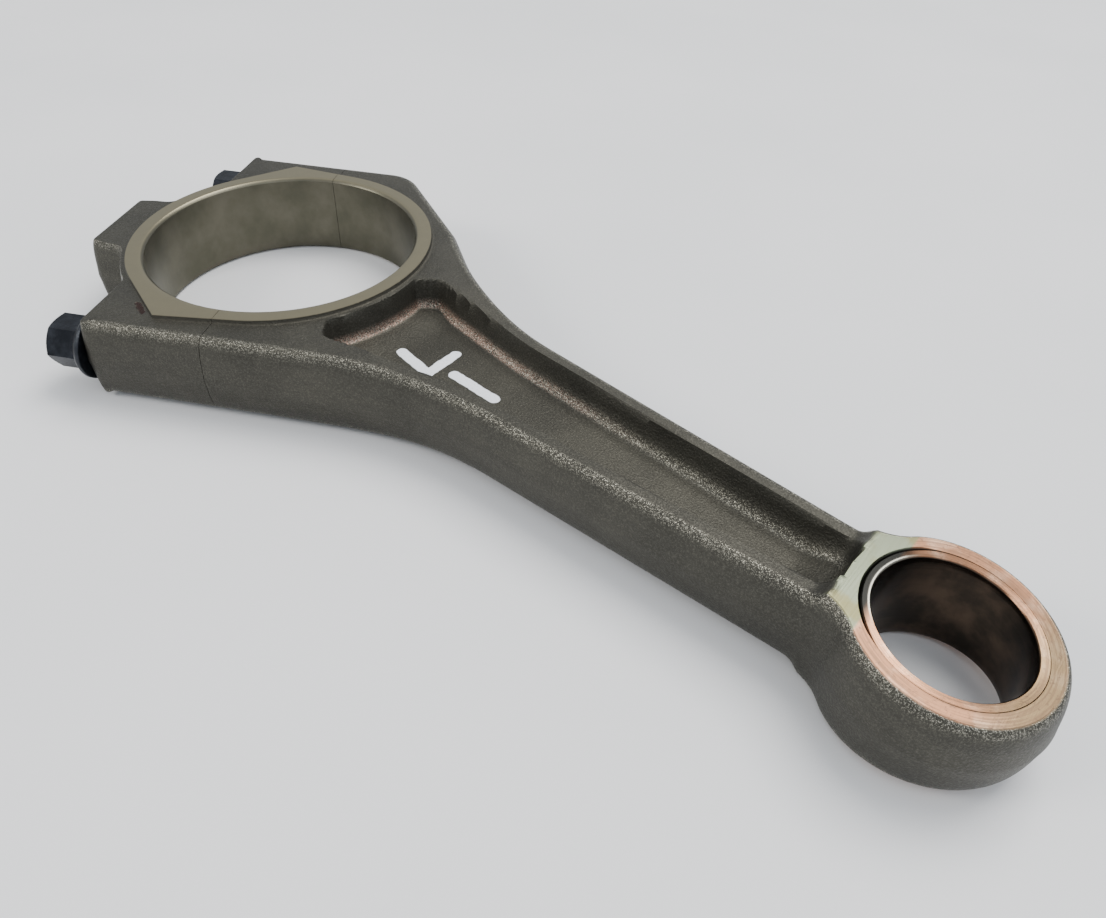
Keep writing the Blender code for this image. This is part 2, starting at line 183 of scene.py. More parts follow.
cap = {"seat": 26.8, "seatFrom": 27.0, "back": 36.3, "lug": 12.0, "end": 43.4, "lean": 0.6,
       "seatRound": 2.6, "seatFoot": 2.2, "lugRound": 2.2, "lugFoot": 3.0}


# Cap's outline, clockwise: near flank, seat, round back, lug, round back, seat, far flank.
def capOutline():
    boss, gap = rod["boss"], rod["gap"]
    seat, back, lug, end = (cap[k] for k in ("seat", "back", "lug", "end"))
    first, last = math.acos(-seat / back), math.pi - math.asin(lug / back)
    bow = polar(back, np.linspace(first, last, 9))
    rounds = [cap["seatFoot"]] + [0.0] * (len(bow) - 2) + [cap["lugFoot"]]
    near = [(fromCap(u, -v), r) for (u, v), r in zip(bow, rounds)]
    far = [(fromCap(u, v), r) for (u, v), r in zip(bow, rounds)][::-1]
    tip = [(fromCap(-end, v), cap["lugRound"]) for v in (-lug + cap["lean"], lug - cap["lean"])]
    corners = [(fromCap(-gap, -boss), 0), (fromCap(-seat, -boss), cap["seatRound"])] + near + tip
    corners += far + [(fromCap(-seat, boss), cap["seatRound"]), (fromCap(-gap, boss), 0)]
    return evenly(filletPath(corners), 0.2)


# Thrust ring's radius: a circle, with two straight runs up to each pointed ear.
def ringReach(angle):
    phi = (angle - rod["split"] + math.pi) % (2 * math.pi) - math.pi
    tip, lean = math.hypot(*rod["earTip"]), math.atan2(rod["earTip"][1], rod["earTip"][0])
    spread = math.acos(rod["ring"] / tip)
    off = np.abs(np.abs(phi) - lean)
    return np.where(off < spread, rod["ring"] / np.cos(spread - off), rod["ring"])


# Signed distance to a closed polyline, positive inside.
def distanceTo(points, path):
    best = np.full(len(points), 1e9)
    inside = np.zeros(len(points), bool)
    for a, b in zip(path, np.roll(path, -1, axis=0)):
        d = b - a
        if d @ d < 1e-12:
            continue
        t = np.clip(((points - a) @ d) / (d @ d), 0, 1)
        best = np.minimum(best, np.linalg.norm(points - a - t[:, None] * d, axis=1))
        if d[1]:
            crosses = (a[1] > points[:, 1]) != (b[1] > points[:, 1])
            inside ^= crosses & (points[:, 0] < a[0] + (points[:, 1] - a[1]) * d[0] / d[1])
    return np.where(inside, best, -best)


recess = {
    "ribFar": 4.1, "ribNear": 4.4, "lead": 66.0, "end": 144.3, "wall": 3.4, "headWall": 2.4,
    "headFar": (40.9, math.radians(19.5)), "headNear": (40.7, math.radians(-26.0)),
    "headArc": 35.5, "headTurns": (-22.0, 15.5), "headRound": 3.2, "endRound": 4.2,
    "headX": 46.0, "headRamp": 6.0, "steep": 4.6, "headSteep": 2.4, "steepX": 52.0,
    "steepRamp": 8.0, "bulge": 2.4, "endRise": 2.4, "endRamp": 10.0, "hump": 0.7, "humpRamp": 9.0,
}


# Recess between the ribs: its head follows the thrust ring, its sides the beam's edges.
def recessOutline():
    corners = []
    for side, word in ((1, "Far"), (-1, "Near")):
        root, way, out = beamEdge(side)
        inner = root - out * recess["rib" + word]
        head = polar(*recess["head" + word])
        lead = meet(inner, way, (recess["lead"], 0), (0, 1))
        end = meet(inner, way, (recess["end"], 0), (0, 1))
        corners += [(head, recess["headRound"]), (lead, rod["beamRound"]),
                    (end, recess["endRound"])][::side]
    turns = np.radians(np.linspace(*recess["headTurns"], 14))
    corners += [(p, 0.0) for p in polar(recess["headArc"], turns)]
    start = (corners[0][0] + corners[-1][0]) / 2
    return filletPath([(start, 0)] + corners + [(start, 0)], 0.6)[:-1]


# Machined faces of both ends: flat, then leaning in from the wedge's start.
def planeHeight(x):
    return rod["half"] - np.maximum(x - rod["wedgeX"], 0) * math.tan(rod["wedgeLean"])


# Flat of the small end: its front edge waves in lobes, and the forging climbs up to it.
flat = {"lobe": 0.7, "span": 6.6, "waves": 1.6, "shoulder": 8.2, "climb": 5.2, "back": 4.4,
        "run": 7.0, "from": 120.0, "blend": 0.5}


# Half thickness over the plan, how deep the recess is cut there (0 to 1), and whether the
# machined plane trims the forging: cheeks fall to the ribs, which rise again to the flat.
def topHeight(p, line):
    x, y = p[:, 0], p[:, 1]
    fall = ease((x - rod["cheekEnd"]) / rod["cheekRamp"])
    base = rod["cheek"] - (rod["cheek"] - rod["rib"]) * fall
    wave = np.cos(np.clip(y / flat["span"], -flat["waves"], flat["waves"]) * math.pi)
    front = rod["flatX"] - flat["lobe"] * wave
    front = front + flat["lobe"] * np.maximum(np.abs(y) - flat["shoulder"], 0)
    raw = base + flat["climb"] * ease((x - front + flat["back"]) / flat["run"])
    atHead = ease((recess["headX"] - x) / recess["headRamp"])
    wall = recess["wall"] + (recess["headWall"] - recess["wall"]) * atHead
    t = np.clip(distanceTo(p, line) / wall, 0, 1)
    soften = ease((recess["steepX"] - x) / recess["steepRamp"])
    steep = recess["steep"] - (recess["steep"] - recess["headSteep"]) * soften
    cut = ease(steep * t) * (1 - (1 - t) ** recess["bulge"])
    rise = ease((x - recess["end"] + recess["endRamp"]) / recess["endRamp"])
    floor = rod["web"] + recess["endRise"] * rise
    floor = floor + recess["hump"] * ease((recess["headX"] - x) / recess["humpRamp"])
    shaped = raw + (floor - raw) * cut
    plane = np.where(x > flat["from"], planeHeight(x), 1e3)
    return np.minimum(shaped, plane), cut, ease((shaped - plane) / flat["blend"] + 0.5)


# Plan points with a height added.
def withHeight(plan, z):
    return np.concatenate([plan, np.broadcast_to(z, plan.shape[:-1])[..., None]], -1)


# Values the materials read from the mesh, 0 unless given.
def marks(**given):
    named = dict.fromkeys(("pocket", "machined", "bore", "side", "rim", "round"), 0.0)
    named.update(given)
    return named


# Rounded side: the outline carried up a superellipse that is fullest at mid height, with a
# slight draft and a fine forging seam; inset is how far the face's edge stands inside it.
def sideGrid(outer, normal, inset, seam, height, levels=25, power=3.0, draft=0.6, width=0.4):
    beta = np.linspace(-math.pi / 2, math.pi / 2, levels)
    q = np.sign(beta) * np.abs(np.sin(beta)) ** (2 / power)
    d = 1 - np.abs(np.cos(beta)) ** (2 / power)
    d[0] = d[-1] = 1
    lean = draft * np.abs(q) ** 1.5
    line = seam[:, None] * np.exp(-(q * rod["half"] / width) ** 2)
    push = (inset[:, None] - draft) * d + lean - line
    return withHeight(outer[:, None] + normal[:, None] * push[..., None], height[:, None] * q)


# Upper sheet: straight rows from the side's top edge to the inner path.
def sheetGrid(edge, inner, line, samples=30):
    t = np.linspace(0, 1, samples)[None, :, None]
    plan = edge[:, None] * (1 - t) + inner[:, None] * t
    z, cut, trimmed = (v.reshape(plan.shape[:2]) for v in topHeight(plan.reshape(-1, 2), line))
    return withHeight(plan, z), cut, trimmed


# Mirror image below the mid plane.
def lower(grid):
    return grid * np.array([1, 1, -1])


footOut = rod["ringFoot"] - rod["ring"]


# Thrust ring, its chamfer and the bore's wall: one profile carried round the bore, from the
# ring's foot on the upper face through the bore to its foot on the lower face.
def ringGrid(angles, foot):
    reach, top, hollow = ringReach(angles)[:, None], rod["half"], rod["bigBore"]
    one, foot = np.ones_like(reach), foot[:, None]
    r = [reach + footOut, reach + 0.22, reach + 0.08, reach, reach - 0.12]
    r += [one * (hollow + v) for v in (2.5, 1.5, 0.65, 0.58, 0.06, 0.0)]
    z = [foot, foot + 0.1, foot + 0.35, one * (top - 0.1), one * top]
    z += [one * (top - v) for v in (0.0, 0.0, 0.0, 0.03, 0.56, 0.64)]
    wall = np.linspace(1, -1, 25)[1:-1]
    r = np.concatenate(r + [one * hollow] * len(wall) + r[::-1], 1)
    z = np.concatenate(z + [z[-1] * w for w in wall] + [-v for v in z[::-1]], 1)
    grid = withHeight(r[..., None] * polar(1.0, angles)[:, None], z)
    onTop = (np.abs(z) > top - 0.05).astype(float)
    inside = r < hollow + 0.5
    return grid, marks(machined=onTop, bore=inside.astype(float),
                       rim=(~inside & (np.abs(z) < top - 0.05)).astype(float))


eyeEdge = {"tip": 0.04, "shank": 0.34, "from": 0.45, "over": 0.3}


# Width of the eye's chamfer: nearly nothing at the tip, broad on the shank's side.
def eyeChamfer(angle):
    towards = ease((-np.cos(angle) - eyeEdge["from"]) / eyeEdge["over"])
    return eyeEdge["tip"] + eyeEdge["shank"] * towards


# Eye of the small end: a chamfer at each face and the wall between, carried round the eye.
def eyeGrid(angles, heights):
    h, wide = heights[:, None], eyeChamfer(angles)[:, None]
    one = np.ones_like(h)
    r = [rod["eye"] + wide, rod["eye"] + 0.1 * wide, rod["eye"] * one]
    z = [h, h - 1.05 * wide, h - 1.05 * wide - 0.1]
    wall = np.linspace(1, -1, 11)[1:-1]
    r = np.concatenate(r + [one * rod["eye"]] * len(wall) + r[::-1], 1)
    z = np.concatenate(z + [z[-1] * w for w in wall] + [-v for v in z[::-1]], 1)
    plan = np.array([rod["centres"], 0.0]) + r[..., None] * polar(1.0, angles)[:, None]
    return withHeight(plan, z), marks(bore=1.0)


sharp = math.radians(35.0)      # edges bent more than this stay crisp


# Joins grids of millimetre points into one mesh object. Points that fall together become one
# vertex; each cap is a closed loop of points filled with one face.
def build(name, grids, caps, surface):
    points, faces, values, base = [], [], [], 0
    for grid, flip, named in grids:
        n, m = grid.shape[:2]
        ids = base + np.arange(n * m).reshape(n, m)
        quad = np.stack([ids[:-1, :-1], ids[1:, :-1], ids[1:, 1:], ids[:-1, 1:]], -1)
        quad = quad.reshape(-1, 4)
        faces.append(quad[:, ::-1] if flip else quad)
        points.append(grid.reshape(-1, 3))
        values.append({k: np.broadcast_to(v, (n, m)).reshape(-1) for k, v in named.items()})
        base += n * m
    points += caps
    every = np.concatenate(points)
    _, first, back = np.unique(np.round(every / weld).astype(np.int64), axis=0,
                               return_index=True, return_inverse=True)
    back = back.reshape(-1)
    quads = back[np.concatenate(faces)]
    doubled = quads == np.roll(quads, -1, axis=1)
    loops = quads[~doubled.any(1)].tolist()
    for quad, same in zip(quads[doubled.sum(1) == 1], doubled[doubled.sum(1) == 1]):
        loops.append(quad[~same].tolist())
    for cap in caps:
        ring = list(dict.fromkeys(back[base:base + len(cap)].tolist()))
        agrees = (quads == ring[0]) & (np.roll(quads, -1, axis=1) == ring[1])
        loops.append(ring[::-1] if agrees.any() else ring)
        base += len(cap)
    fans = np.concatenate([np.stack([np.full(len(f) - 2, f[0]), f[1:-1], f[2:]], -1) for f in loops])
    a, b, c = (every[first][fans[:, i]] for i in (0, 1, 2))
    if (a * np.cross(b, c)).sum() < 0:      # inside out
        loops = [f[::-1] for f in loops]
    place = np.array([bigEnd[0], bigEnd[1], midZ])
    mesh = bpy.data.meshes.new(name)
    mesh.from_pydata(every[first] * mm + place, [], loops)
    for key in values[0]:
        marked = np.concatenate([v[key] for v in values] + [np.zeros(len(c)) for c in caps])
        layer = mesh.attributes.new(key, "FLOAT", "POINT")
        layer.data.foreach_set("value", marked[first].astype(np.float32))
    made = bpy.data.objects.new(name, mesh)
    bpy.context.scene.collection.objects.link(made)
    mesh.shade_smooth()
    mesh.set_sharp_from_angle(angle=sharp)
    mesh.materials.append(surface)
    ends = np.zeros(len(mesh.loops), int)
    mesh.loops.foreach_get("edge_index", ends)
    loose = int((np.bincount(ends, minlength=len(mesh.edges)) != 2).sum())
    print(name, sum(len(f) - 2 for f in loops), "triangles,", loose, "open edges", flush=True)
    return made


bolt = {"axis": 36.0, "flats": 5.0, "top": -35.9, "seat": -26.83, "flange": 7.2, "shank": 3.55,
        "thread": 4.0, "pitch": 1.25, "start": -11.0, "tip": 12.6, "around": 121}
hole = {"radius": 4.25, "over": 1.0, "seat": -30.0, "depth": 14.8, "point": 2.2, "around": 49}


# Point at a station along a bolt, a radius off its axis and a turn from the split's direction.
def boltPoint(side, station, radius, turn):
    u = station
    v = side * bolt["axis"] + radius * np.cos(turn)
    c, s = math.cos(rod["split"]), math.sin(rod["split"])
    return np.stack([u * c - v * s, u * s + v * c, radius * np.sin(turn)], -1)


# Cuts a round hole along the bolt's axis, from one station to another, its end drawn to a point.
def drill(piece, side, start, end, point=0.0):
    turn = np.linspace(0, 2 * math.pi, hole["around"])
    one = np.ones_like(turn)
    stations = [(start, 0.0), (start, hole["radius"]), (end, hole["radius"]), (end + point, 0.0)]
    grid = np.stack([boltPoint(side, one * s, one * r, turn) for s, r in stations])
    cutter = build("cutter", [(grid, False, marks())], [], piece.data.materials[0])
    step = piece.modifiers.new("hole", "BOOLEAN")
    step.operation = "DIFFERENCE"
    step.object = cutter
    step.solver = "MANIFOLD"
    bpy.context.view_layer.update()
    ready = piece.evaluated_get(bpy.context.evaluated_depsgraph_get())
    mesh = bpy.data.meshes.new_from_object(ready)
    piece.modifiers.clear()
    piece.data = mesh
    bpy.data.objects.remove(cutter)
    mesh.set_sharp_from_angle(angle=sharp)


# Foot of the thrust ring in plan.
def ringFoot(angle):
    return (ringReach(angle) + footOut)[:, None] * polar(1.0, angle)


# Forged rod: sides, upper and lower sheets, ring and both bores. The inner path runs along
# the ring, down the centre line, round the eye and back; each of its points has a partner on
# the outline, found between a few pairs of matching places.
def rodGrids():
    outline = rodOutline()
    length = walk(outline)

    def station(x, y):
        return length[np.argmin(np.linalg.norm(outline - (x, y), axis=1))]

    quarter = math.pi / 2 - rod["gapTurn"]
    farTurn = np.linspace(rod["split"] + quarter, 0.0, 150)
    nearTurn = np.linspace(0.0, rod["split"] - quarter, 76)
    eyeTurn = np.linspace(math.pi, -math.pi, 280)
    eyeR = rod["eye"] + eyeChamfer(eyeTurn)
    lineX = np.linspace(rod["ringFoot"], rod["centres"] - eyeR[0], 250)
    line = np.stack([lineX, np.zeros_like(lineX)], -1)
    eye = np.array([rod["centres"], 0.0]) + polar(eyeR, eyeTurn)
    inner = np.concatenate([ringFoot(farTurn), line[1:], eye[1:], line[::-1][1:],
                            ringFoot(nearTurn)[1:]])

    lineKeys = [rod["ringFoot"], 44, 60, 90, 120, 138, 143, lineX[-1]]
    farLine = np.interp(lineX, lineKeys, [station(*p) for p in (
        (47, 19.3), (53.5, 17), (64, 14.6), (91, 12.8), (120, 11.6), (138, 10.6), (142.6, 10.8),
        (146.5, 12.5))])
    nearLine = np.interp(lineX, lineKeys, [station(*p) for p in (
        (47, -21), (53.5, -18), (64, -15.2), (91, -12.8), (120, -11.6), (138, -10.6),
        (142.6, -10.8), (146.5, -12.5))])
    farKeys = np.append(-farTurn[0], -np.radians([97, 75, 50, 25, 0]))
    farRing = np.interp(-farTurn, farKeys, [0] + [
        station(*p) for p in ((-4.5, 44), (11, 39.5), (27.5, 30.5), (39, 23.5), (47, 19.3))])
    nearKeys = np.append(np.radians([0, 12, 25, 40]), -nearTurn[-1])
    nearRing = np.interp(-nearTurn, nearKeys, [
        station(*p) for p in ((47, -21), (41, -24.6), (33, -29.5), (27, -33))] + [length[-1]])
    aroundEye = np.interp(-eyeTurn, [-math.pi, -2.5, -1.57, 0, 1.57, 2.5, math.pi], [
        farLine[-1], station(149.5, 14.6), station(160, 17.6), station(177.6, 0),
        station(160, -17.6), station(149.5, -14.6), nearLine[-1]])
    stations = np.concatenate([farRing, farLine[1:], aroundEye[1:], nearLine[::-1][1:],
                               nearRing[1:]])
    # an average over 27 rows lets them fan out evenly between the matching places
    kernel = np.hanning(27) / np.hanning(27).sum()
    before, after = 2 * stations[0] - stations[13:0:-1], 2 * stations[-1] - stations[-2:-15:-1]
    stations = np.convolve(np.concatenate([before, stations, after]), kernel, "valid")
    stations[0], stations[-1] = 0, length[-1]
    outer = along(outline, stations)
    normals = inward(outline)
    normal = np.stack([np.interp(stations, length, normals[:, i]) for i in (0, 1)], -1)
    normal /= np.linalg.norm(normal, axis=1)[:, None]
    x = outer[:, 0]
    # 3.2 mm at the big end, 2.7 along the beam, 1.9 at the small end
    inset = 3.2 - 0.5 * ease((x - 30) / 25) - 0.8 * ease((x - 138) / 12)
    rows, eyeRow = np.arange(len(inner)), len(farTurn) + len(line) - 2
    ringRows = np.append(rows[:len(farTurn)], rows[1 - len(nearTurn):])
    return skin(outer, normal, inset, np.full(len(outer), rod["seam"]), inner, recessOutline(),
                [(np.append(farTurn, nearTurn[1:]), ringRows)],
                (eyeTurn, rows[eyeRow:eyeRow + len(eyeTurn)]))


# Bearing cap: the same, its rows running straight out from the bore.
def capGrids():
    outline = evenly(capOutline(), 0.42)
    turn = np.unwrap(np.arctan2(outline[:, 1], outline[:, 0]))
    snapped, lean = turn.copy(), math.atan2(rod["earTip"][1], rod["earTip"][0])
    for exact in (rod["split"] - lean, rod["split"] + lean - 2 * math.pi):
        snapped[np.argmin(np.abs(turn - exact))] = exact      # a row ends on each ear's tip
    snapped[0] = rod["split"] - math.pi / 2 - rod["gapTurn"]
    snapped[-1] = rod["split"] - 3 * math.pi / 2 + rod["gapTurn"]
    inner = ringFoot(snapped)
    normal = inward(outline)
    uv = outline @ np.array([fromCap(1, 0), fromCap(0, 1)]).T
    flank = ease((np.abs(uv[:, 1]) - 38.5) / 2.5) * ease((uv[:, 0] + 26.5) / 3.0)
    lug = ease((-uv[:, 0] - 38.0) / 4.0)
    inset = 1.0 + 2.2 * flank + 0.6 * lug     # fullest rounding on the flanks
    onSeat = (np.abs(uv[:, 0] + cap["seat"]) < 0.6) & (np.abs(uv[:, 1]) > cap["seatFrom"])
    seam = np.where(onSeat, 0.0, rod["seam"])
    return skin(outline, normal, inset, seam, inner, recessOutline(),
                [(snapped, np.arange(len(snapped)))], None)


# All grids of a forged piece, and the loops that close it at the split.
def skin(outer, normal, inset, seam, inner, line, rings, eye):
    sheet, cut, trimmed = sheetGrid(outer + normal * inset[:, None], inner, line)
    side = sideGrid(outer, normal, inset, seam, sheet[:, 0, 2])
    rise = np.broadcast_to(np.abs(side[..., 2]) / np.maximum(sheet[:, :1, 2], 1e-6), side.shape[:2])
    face = marks(pocket=cut, machined=trimmed)
    grids = [(sheet, True, face), (lower(sheet), False, face),
             (side, True, marks(side=1.0 - ease((rise - 0.72) / 0.25), round=ease((rise - 0.7) / 0.2)))]
    for angles, rows in rings:
        ring, named = ringGrid(angles, sheet[rows, -1, 2])
        grids.append((ring, True, named))
    if eye:
        wall, named = eyeGrid(eye[0], sheet[eye[1], -1, 2])
        grids.append((wall, True, named))
    caps = [np.concatenate([sheet[k], ring[k], lower(sheet)[k][::-1], side[k]]) for k in (0, -1)]
    return grids, caps


# Flanged bolt as one surface: its radius is a function of the station along it and the turn
# about it. The head is the lesser of a hexagon and a cone, and the thread is a triangle wave
# that climbs one pitch a turn.
def boltGrid(side):
    turn = np.linspace(0, 2 * math.pi, bolt["around"])
    one = np.ones_like(turn)
    hexagon = bolt["flats"] / np.cos(turn % (math.pi / 3) - math.pi / 6)
    top, seat, flange, shank = (bolt[k] for k in ("top", "seat", "flange", "shank"))
    # head, from the dished top down its chamfered corners to the flange
    rows = [(top + 0.35, 0.0), (top + 0.35, 2.4), (top + 0.25, 2.7), (top, 3.2), (top, 4.3)]
    rows += [(top + d, np.minimum(hexagon, 4.45 + 1.9 * d)) for d in np.linspace(0.04, 0.9, 14)]
    rows += [(top + d, hexagon) for d in (2.0, 4.0, 5.6, 6.4)]
    rows += [(top + 6.75, np.maximum(hexagon, 5.45)), (top + 6.95, np.maximum(hexagon, 5.8) + 0.1)]
    rows += [(top + 7.3, flange - 0.85), (top + 7.9, flange - 0.3), (top + 8.15, flange - 0.12)]
    rows += [(top + 8.4, flange), (seat - 0.12, flange), (seat, flange - 0.12)]
    # shank, thread and tip
    rows += [(seat, shank + 0.6), (seat + 0.3, shank + 0.3), (seat + 1.0, shank)]
    rows += [(s, shank) for s in np.linspace(seat + 2.0, bolt["start"] - 0.8, 8)]
    for s in np.arange(bolt["start"], bolt["tip"], bolt["pitch"] / 9):
        wave = np.abs(2 * ((s / bolt["pitch"] - turn / (2 * math.pi)) % 1.0) - 1)
        crest = bolt["thread"] - 0.66 * np.clip(1.25 * wave - 0.1, 0, 1)
        rows.append((s, np.minimum(crest, 3.1 + (bolt["tip"] - s))))
    rows += [(bolt["tip"], 2.9), (bolt["tip"], 0.0)]
    return np.stack([boltPoint(side, one * s, one * r, turn) for s, r in rows])


bush = {
    "outside": 13.5, "inside": 12.0, "middle": 12.7, "under": 0.03,
    "dark": (0.035, 0.028, 0.022), "light": (0.10, 0.07, 0.05),
    "rim": (0.46, 0.44, 0.37), "paintedShadeRing": (0.02, 0.02, 0.018), "rimEdge": (12.35, 12.6),
}


# Bush: a thin closed section carried round the eye, its ends kept just under the wedge.
def bushGrid():
    turn = np.linspace(0, 2 * math.pi, 193)
    outside, inside = bush["outside"], bush["inside"]
    h = (planeHeight(rod["centres"] + bush["middle"] * np.cos(turn)) - bush["under"])[:, None]
    one, wide = np.ones_like(h), 0.6 * eyeChamfer(turn)[:, None]
    r = [outside, outside - wide, inside + 0.25, inside + 0.05, inside]
    z = [h - wide, h, h, h - 0.2, h - 0.35]
    wall = np.linspace(1, -1, 15)[1:-1]
    up = np.linspace(-1, 1, 7)[1:]
    r = [one * v for v in r] + [one * inside] * len(wall) + [one * v for v in r[::-1]]
    z = z + [(h - 0.35) * w for w in wall] + [-v for v in z[::-1]]
    r += [one * outside] * len(up)
    z += [(h - wide) * w for w in up]
    plan = np.array([rod["centres"], 0.0]) \
        + np.concatenate(r, 1)[..., None] * polar(1.0, turn)[:, None]
    return withHeight(plan, np.concatenate(z, 1))


class Value:
    # a socket that takes arithmetic: each operator adds a Math node
    def __init__(self, paint, socket):
        self.paint = paint
        self.socket = socket

    def math(self, operation, *others):
        inputs = dict(enumerate((self, *others)))
        return self.paint.node("ShaderNodeMath", {"operation": operation}, inputs)

    def __add__(self, other):
        return self.math("ADD", other)

    def __sub__(self, other):
        return self.math("SUBTRACT", other)

    def __rsub__(self, other):
        return self * -1.0 + other

    def __mul__(self, other):
        return self.math("MULTIPLY", other)

    __radd__ = __add__
    __rmul__ = __mul__


class Paint:
    # one material: node() adds any node, settings first, then its sockets' values or links
    def __init__(self, name, metallic):
        self.material = bpy.data.materials.new(name)
        self.material.use_nodes = True
        self.nodes = self.material.node_tree.nodes
        self.links = self.material.node_tree.links
        self.shader = self.nodes["Principled BSDF"]
        self.shader.inputs["Metallic"].default_value = metallic
        self.place = self.node("ShaderNodeTexCoord", output="Object")
        self.x, self.y, self.z = (self.node("ShaderNodeSeparateXYZ", None, {0: self.place}, i)
                                  for i in (0, 1, 2))

    def node(self, kind, settings=None, inputs=None, output=0):
        made = self.nodes.new(kind)
        for key, value in (settings or {}).items():
            setattr(made, key, value)
        for key, value in (inputs or {}).items():
            self.feed(made.inputs[key], value)
        return Value(self, made.outputs[output])

    def feed(self, socket, value):
        if isinstance(value, Value):
            self.links.new(value.socket, socket)
        else:
            socket.default_value = value

    def mark(self, name):
        return self.node("ShaderNodeAttribute", {"attribute_name": name}, output="Fac")

    def noise(self, scale, detail=3.0, rough=0.55, stretch=(1, 1, 1), warp=0.0):
        where = self.place
        if stretch != (1, 1, 1):
            where = self.node("ShaderNodeMapping", None, {"Vector": self.place, "Scale": stretch})
        return self.node("ShaderNodeTexNoise", None, {
            "Vector": where, "Scale": scale, "Detail": detail, "Roughness": rough,
            "Distortion": warp})

    def step(self, value, low, high):
        return self.node("ShaderNodeMapRange", {"interpolation_type": "SMOOTHSTEP"},
                         {0: value, 1: low, 2: high})

    def mix(self, factor, a, b, blend="MIX"):
        a, b = (c if isinstance(c, Value) else (*c, 1.0) for c in (a, b))
        return self.node("ShaderNodeMix", {"data_type": "RGBA", "blend_type": blend},
                         {0: factor, 6: a, 7: b}, 2)

    def finish(self, colour, roughness, height, depth, strength=1.0):
        bump = self.node("ShaderNodeBump", None, {
            "Height": height, "Distance": depth, "Strength": strength})
        for name, value in (("Base Color", colour), ("Roughness", roughness), ("Normal", bump)):
            self.feed(self.shader.inputs[name], value)
        return self.material


# Distance in millimetres from a point of the plan to a straight stroke.
def strokeDistance(p, a, b):
    px = (p.x - bigEnd[0]) * (1 / mm) - a[0]
    py = (p.y - bigEnd[1]) * (1 / mm) - a[1]
    dx, dy = b[0] - a[0], b[1] - a[1]
    t = (px * dx + py * dy) * (1 / (dx * dx + dy * dy))
    t = t.math("MAXIMUM", 0.0).math("MINIMUM", 1.0)
    ex, ey = px - t * dx, py - t * dy
    return (ex * ex + ey * ey).math("SQRT")


# In forged, copper is a copper-tinted painted highlight for the recess fillet, not a tint of the steel
forged = {
    "dark": (0.050, 0.048, 0.040), "light": (0.068, 0.065, 0.053), "paintedGlint": (0.66, 0.63, 0.52),
    "copper": (0.55, 0.33, 0.25), "ring": (0.27, 0.24, 0.155), "bore": (0.15, 0.14, 0.105),
    "grain": (0.14, 0.135, 0.11), "streak": (0.043, 0.041, 0.035), "rim": (0.08, 0.075, 0.06),
    "ringShade": (0.18, 0.165, 0.12), "boreShade": (0.095, 0.092, 0.066),
    "paintedEyeShade": (0.012, 0.011, 0.010), "flat": (0.18, 0.20, 0.125), "ground": (0.30, 0.335, 0.27),
    "straw": (0.20, 0.155, 0.035), "paint": (0.92, 0.95, 0.99), "pit": (0.04, 0.022, 0.018),
    "metallic": 0.85, "pitEnds": ((-15.4, -34.5), (-18.0, -31.8)),
    "strokes": [((45.0, -4.2), (54.3, -5.6)), ((54.3, -5.6), (53.8, 2.8)),
                ((58.6, -2.2), (69.9, -2.3))],
}


wedge = {"copper": (0.38, 0.19, 0.105), "pale": (0.62, 0.40, 0.27), "olive": (0.21, 0.175, 0.09),
         "oliveX": (168.5, 176.5), "line": (0.15, 0.09, 0.055), "speck": (0.12, 0.07, 0.05)}


# Distance in millimetres from the small end's axis.
def eyeRadius(p):
    px = p.x - stationX(rod["centres"])
    py = p.y - bigEnd[1]
    return (px * px + py * py).math("SQRT") * (1 / mm)


# Copper-brown turned face of the wedge: pale patches, an olive end, round tool lines and specks.
def wedgeCopper(p):
    line = p.node("ShaderNodeCombineXYZ", None, {0: eyeRadius(p), 1: p.x * 30.0, 2: p.y * 30.0})
    turned = p.node("ShaderNodeTexNoise", None, {"Vector": line, "Scale": 3.4, "Detail": 4.0})
    tone = p.mix(p.step(p.noise(140, 4, 0.6), 0.42, 0.62), wedge["copper"], wedge["pale"])
    olive = p.step(p.x + p.noise(90, 3) * 0.006, *(stationX(x) for x in wedge["oliveX"]))
    tone = p.mix(olive * 0.7, tone, wedge["olive"])
    tone = p.mix(p.step(turned, 0.42, 0.62) * 0.6, tone, wedge["line"])
    specks = p.step(p.noise(1500, 4, 0.75), 0.56, 0.66)
    return p.mix(specks * 0.6, tone, wedge["speck"])
